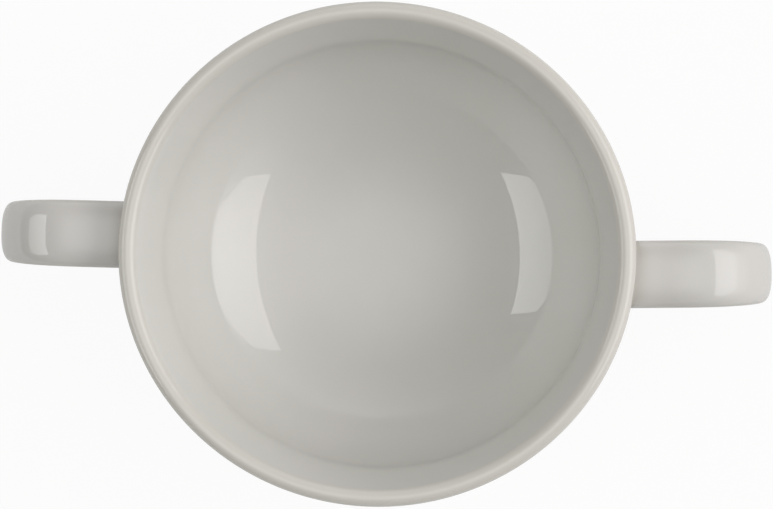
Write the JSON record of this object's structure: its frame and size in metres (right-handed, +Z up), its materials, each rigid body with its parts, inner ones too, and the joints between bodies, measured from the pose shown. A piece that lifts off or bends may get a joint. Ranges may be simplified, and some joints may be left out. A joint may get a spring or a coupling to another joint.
{
  "type": "soup cup",
  "caption": "Low round porcelain soup cup with a leaning collar, a soft shoulder inside, a foot ring and a looped strap handle on opposite sides.",
  "frame": {"origin": "middle of the foot ring's resting plane, on the bowl's axis", "axes": "+X from the bowl's axis to the right handle, +Z up"},
  "size_m": [0.1728, 0.1104, 0.05],
  "materials": {
    "glazed_porcelain": "glossy clear glaze over warm grey-white porcelain, bare on the foot ring's resting face",
    "glazed_slip": "the same glaze, a little thicker in the fillet round each handle seat"
  },
  "bodies": {
    "root": {"bowl": "glazed_porcelain", "right_handle": "glazed_porcelain", "right_upper_slip_joint": "glazed_slip", "right_lower_slip_joint": "glazed_slip", "left_handle": "glazed_porcelain", "left_upper_slip_joint": "glazed_slip", "left_lower_slip_joint": "glazed_slip"}
  },
  "joints": []
}
